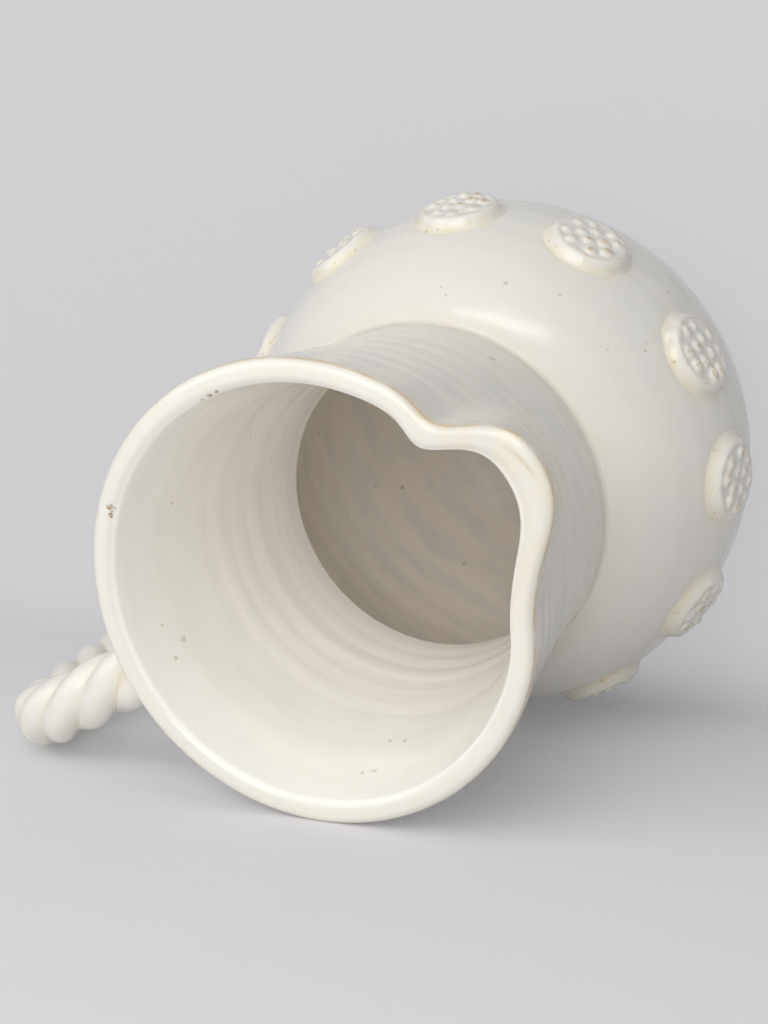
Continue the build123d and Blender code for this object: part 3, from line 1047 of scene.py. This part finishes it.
class JUG_OT_bosses(bpy.types.Operator):
    """Model one stamped pad and set it round the belly"""

    bl_idname = "jug.bosses"
    bl_label = "Stamped bosses"

    # Radii and heights of the cushion from its embedded base to the stamped field
    RINGS = (
        (0.0148, -0.0022), (0.0152, -0.0004), (0.0144, 0.0000), (0.0137, 0.0004), (0.0131, 0.0010),
        (0.0127, 0.0016), (0.0123, 0.0022), (0.0118, 0.0028), (0.0112, 0.0032), (0.0107, 0.0033),
        (0.0103, 0.0033), (0.0098, 0.0031), (0.0092, 0.0029),
    )
    GRID = (-1.5, -0.5, 0.5, 1.5)  # places of the nubs in steps of their pitch
    ASTRAY = 0.00045  # how far a nub can sit off its place
    MARGIN = 0.0016  # from a nub's middle to the end of the field
    NUB_LEVEL, NUB_UNEVEN, NUB_SHAPE = 0.0021, 0.0003, (1.14, 0.98, 0.92)
    MELT, SOFTEN = 0.00032, 16  # size of the melted grain, and rounds of smoothing
    # The valleys' levels bound the painted shade between the nubs.
    TIPS, VALLEYS, EDGES = (0.0036, 0.0040), (0.0029, 0.0034), (0.0024, 0.0030)  # levels
    RIM = (0.0108, 0.0003)  # radius and width of the worn rim
    SKIRT = (0.0114, 0.0134)  # radii between which glaze pools
    UNEVEN, PAD_STEP = 260.0, 3.7  # scale of the uneven clay, and its step from pad to pad

    def model_pad(self, bosses):
        """A soft round cushion whose stamp left a grid of nubs."""
        radius, height = self.RINGS[0]
        clear_selection()
        bpy.ops.mesh.primitive_circle_add(vertices=96, radius=radius, fill_type="NGON", location=(0, 0, 0))
        piece = bpy.context.object
        piece.name = "pad"
        bpy.ops.object.mode_set(mode="EDIT")
        bpy.ops.mesh.select_mode(type="FACE")
        bpy.ops.mesh.select_all(action="SELECT")
        bpy.ops.transform.translate(value=(0, 0, height))
        for next_radius, next_height in self.RINGS[1:]:
            bpy.ops.mesh.extrude_region_move(TRANSFORM_OT_translate={"value": (0, 0, next_height - height)})
            share = next_radius / radius
            bpy.ops.transform.resize(value=(share, share, 1), center_override=(0, 0, next_height))
            radius, height = next_radius, next_height
        for row in self.GRID:
            for place in self.GRID:
                x = place * bosses.nub_pitch + self.ASTRAY * sin(5 * place + 3 * row)
                y = row * bosses.nub_pitch + self.ASTRAY * cos(4 * place - 2 * row)
                if hypot(x, y) + self.MARGIN > bosses.field_radius:
                    continue
                wide = bosses.nub_radius * (1 + 0.12 * sin(7 * place + 5 * row))
                high = self.NUB_LEVEL + self.NUB_UNEVEN * cos(3 * place + 6 * row)
                bpy.ops.mesh.primitive_uv_sphere_add(
                    segments=20, ring_count=12, radius=wide, location=(x, y, high), scale=self.NUB_SHAPE
                )
        bpy.ops.object.mode_set(mode="OBJECT")
        melt = piece.modifiers.new("Melt", "REMESH")
        melt.mode = "VOXEL"
        melt.voxel_size = self.MELT
        soften = piece.modifiers.new("Soften", "SMOOTH")
        soften.factor = 0.5
        soften.iterations = self.SOFTEN
        for modifier in (melt.name, soften.name):
            bpy.ops.object.modifier_apply(modifier=modifier)
        bpy.ops.object.shade_smooth()
        if len(piece.data.polygons) < 2000:
            raise RuntimeError("the pad lost its form")
        return piece

    def execute(self, context):
        form = Form()
        belly = form.belly
        bosses = form.bosses
        pad = self.model_pad(bosses)
        glaze = boss_glaze()
        meridian = belly.half_height**2 / belly.radius
        for place, turn in enumerate(form.boss_turns()):
            clear_selection()
            pad.select_set(True)
            context.view_layer.objects.active = pad
            bpy.ops.object.duplicate(linked=False)
            piece = context.object
            call(piece, f"stamped_boss_{place + 1:02d}")
            stamp = Matrix.Rotation(bosses.stamp_turn * place, 4, "Z")

            def shape(point):
                far = hypot(point.co.x, point.co.y)
                height = point.co.z
                field = 1 - smooth_step(far, bosses.field_radius - 0.0012, bosses.field_radius + 0.0004)
                point.co = stamp @ point.co
                spot = Vector((point.co.x * self.UNEVEN, point.co.y * self.UNEVEN, place * self.PAD_STEP))
                uneven = noise.noise(spot)
                point.co.z += 0.00022 * uneven * smooth_step(height, 0.0, 0.0020)
                point.co.x += 0.00025 * uneven * smooth_step(far, 0.009, 0.012)
                pool = pooled(point.co, far) * smooth_step(far, *self.SKIRT)
                point.co.z -= point.co.x**2 / (2 * belly.radius) + point.co.y**2 / (2 * meridian)
                return {
                    "tip": field * smooth_step(height, *self.TIPS),
                    # painted shade between the nubs
                    "valley": field * (1 - smooth_step(height, *self.VALLEYS)),
                    "edge": hump(far, *self.RIM) * smooth_step(height, *self.EDGES),
                    "pool": pool,
                }

            work(piece, shape)
            piece.data.transform(form.boss_frame(turn))
            hand_in(piece, glaze, "stamped_glaze", f"boss_{place + 1:02d}")
        bpy.data.objects.remove(pad)
        return {"FINISHED"}


class JUG_OT_stage(bpy.types.Operator):
    """Set a pale floor and backdrop, soft lamps and the camera"""

    bl_idname = "jug.stage"
    bl_label = "Studio"

    CAMERA = Vector((-0.3147, -0.0511, 0.6935))
    RIGHT = Vector((-0.7735, 0.4854, -0.4076))
    DOWN = Vector((0.3898, 0.8714, 0.2979))
    SENSOR = 36.0
    LEAN = Vector((-0.4683, -0.8709, -0.1490))  # the way that the backdrop faces
    GLOW = (0.740, 0.734, 0.757)
    SKY = (0.99, 0.99, 1.0)
    RAYS = ("Is Camera Ray", "Is Glossy Ray", "Is Transmission Ray")
    BEND_TOP = 0.06  # height where the backdrop's own tone is reached
    PALE_FROM, PALE_AT = 0.40, 1.60  # distances between which the paper turns to the pale tone
    COVE_STEPS = 24
    LAMP_DISTANCE = 1.30
    LAMP_AIM = Vector((0, 0, 0.12))
    # Name, way from the jug, width, height, and whether the glaze mirrors the lamp
    LAMPS = (
        ("key", Vector((-0.336, -0.474, 0.814)), 1.0, 1.0, True),
        ("side", Vector((0.268, -0.781, 0.564)), 1.0, 1.0, True),
        ("strip", Vector((-0.576, -0.769, 0.278)), 1.0, 0.12, True),
        ("front", Vector((-0.500, -0.070, 0.863)), 0.6, 0.6, False),
        ("back", Vector((0.300, 0.800, 0.520)), 1.0, 1.0, True),
    )

    def seen(self, shader):
        """1 for the rays that show the background, 0 for those that light the jug."""
        rays = [shader.add("LightPath", {}, {}, ray) for ray in self.RAYS]
        return shader.math("MINIMUM", rays[0] + rays[1] + rays[2], 1.0)

    def paper(self, name, low, high):
        """Plain paper whose tone goes from low at the floor to high above the bend."""
        stage = bpy.context.scene.jug_stage
        shader = Shader(bpy.data.materials.new(name))
        place = shader.place()
        raised = shader.ramp(shader.part(place, 2), 0.0, self.BEND_TOP)
        tone = shader.mix(raised, low, high)
        tone = shader.mix(shader.noise(place, 900.0) * 0.06, tone, tuple(0.9 * part for part in low))
        paper = shader.add("BsdfPrincipled", {}, {"Base Color": tone, "Roughness": 0.85})
        glow = shader.add("Emission", {}, {"Color": self.GLOW, "Strength": 1.0})
        far = shader.add("VectorMath", {"operation": "LENGTH"}, {0: place}, "Value")
        share = stage.glow - raised * (stage.glow - stage.fill)
        share = shader.math("MAXIMUM", share, shader.ramp(far, self.PALE_FROM, self.PALE_AT))
        return shader, shader.mix_surfaces(share * self.seen(shader), paper, glow)

    def lay_floor(self, stage):
        clear_selection()
        bpy.ops.mesh.primitive_plane_add(size=stage.floor_size, location=(0, 0, 0))
        floor = bpy.context.object
        floor.name = "floor"
        shader, surface = self.paper("floor_paper", stage.floor, stage.floor)
        floor.data.materials.append(shader.finish(surface))
        floor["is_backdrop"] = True

    def hang_backdrop(self, stage, jug):
        """Paper that rises from the floor in a bend and leans against the jug's side, clear from behind."""
        tilt = self.LEAN.normalized()
        touch = min(tilt.dot(point.co) for piece in jug for point in piece.data.vertices)
        level = Vector((tilt.x, tilt.y, 0)).normalized()
        along = Vector((0, 0, 1)).cross(level)
        rise = tilt.cross(along).normalized()
        half = stage.floor_size / 2
        edge = level * (touch / tilt.dot(level)) - along * half
        line = []
        for share in between(0.0, 1.0, self.COVE_STEPS):
            line.append(edge + (level * (1 - share) ** 2 + rise * share**2) * stage.cove)
        backdrop = draw_line("backdrop", line + [edge + rise * half])
        bpy.ops.mesh.extrude_edges_move(TRANSFORM_OT_translate={"value": along * stage.floor_size})
        bpy.ops.object.mode_set(mode="OBJECT")
        bpy.ops.object.shade_smooth()
        shader, surface = self.paper("backdrop_paper", stage.floor, stage.backdrop)
        behind = shader.add("NewGeometry", {}, {}, "Backfacing")
        clear = shader.add("BsdfTransparent", {}, {})
        backdrop.data.materials.append(shader.finish(shader.mix_surfaces(behind, surface, clear)))
        backdrop.visible_shadow = False
        backdrop.data.update()
        widest = max(backdrop.data.polygons, key=lambda face: face.area)
        if widest.normal.dot(tilt) < 0:
            backdrop.data.flip_normals()
        backdrop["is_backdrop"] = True

    def light(self, stage, scene):
        scene.world = bpy.data.worlds.new("studio")
        shader = Shader(scene.world)
        sky = shader.add("Background", {}, {"Color": self.SKY, "Strength": stage.sky})
        pale = shader.add("Background", {}, {"Color": self.GLOW, "Strength": 1.0})
        shader.finish(shader.mix_surfaces(self.seen(shader), sky, pale), "OutputWorld")
        for name, way, wide, high, mirrored in self.LAMPS:
            data = bpy.data.lights.new(f"{name}_lamp", "AREA")
            data.shape = "ELLIPSE"
            data.size = wide
            data.size_y = high
            data.energy = getattr(stage, name)
            lamp = bpy.data.objects.new(f"{name}_lamp", data)
            scene.collection.objects.link(lamp)
            lamp.location = self.LAMP_AIM + way.normalized() * self.LAMP_DISTANCE
            lamp.rotation_euler = way.to_track_quat("Z", "Y").to_euler()
            lamp.visible_glossy = mirrored

    def set_camera(self, stage, scene):
        eye = bpy.data.cameras.new("camera")
        eye.lens = stage.lens
        eye.sensor_width = self.SENSOR
        camera = bpy.data.objects.new("camera", eye)
        scene.collection.objects.link(camera)
        ahead = self.RIGHT.cross(self.DOWN)
        turned = Matrix((self.RIGHT, -self.DOWN, -ahead)).transposed().to_4x4()
        turned.translation = self.CAMERA
        camera.matrix_world = turned
        scene.camera = camera
        scene.view_settings.view_transform = "Standard"

    def execute(self, context):
        scene = context.scene
        stage = scene.jug_stage
        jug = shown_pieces()
        self.lay_floor(stage)
        self.hang_backdrop(stage, jug)
        self.light(stage, scene)
        self.set_camera(stage, scene)
        return {"FINISHED"}


class JUG_PT_pieces(bpy.types.Panel):
    """Lists the jug's pieces and sizes"""

    bl_idname = "JUG_PT_pieces"
    bl_label = "Jug"
    bl_space_type = "VIEW_3D"
    bl_region_type = "UI"
    bl_category = "Jug"

    def draw(self, context):
        for operator in OPERATORS:
            self.layout.operator(operator.bl_idname)
        for group in GROUPS:
            box = self.layout.box()
            settings = getattr(context.scene, group)
            for name in type(settings).__annotations__:
                box.prop(settings, name)


OPERATORS = (JUG_OT_belly, JUG_OT_neck, JUG_OT_rope, JUG_OT_roots, JUG_OT_bosses, JUG_OT_stage)
CLASSES = (*GROUPS.values(), *OPERATORS, JUG_PT_pieces)


def register():
    for made in CLASSES:
        bpy.utils.register_class(made)
    for name, group in GROUPS.items():
        setattr(bpy.types.Scene, name, PointerProperty(type=group))


def unregister():
    for name in GROUPS:
        delattr(bpy.types.Scene, name)
    for made in reversed(CLASSES):
        bpy.utils.unregister_class(made)


def main():
    register()
    bpy.ops.jug.belly()
    bpy.ops.jug.neck()
    bpy.ops.jug.rope()
    bpy.ops.jug.roots()
    bpy.ops.jug.bosses()
    bpy.ops.jug.stage()


if __name__ == "__main__":
    main()
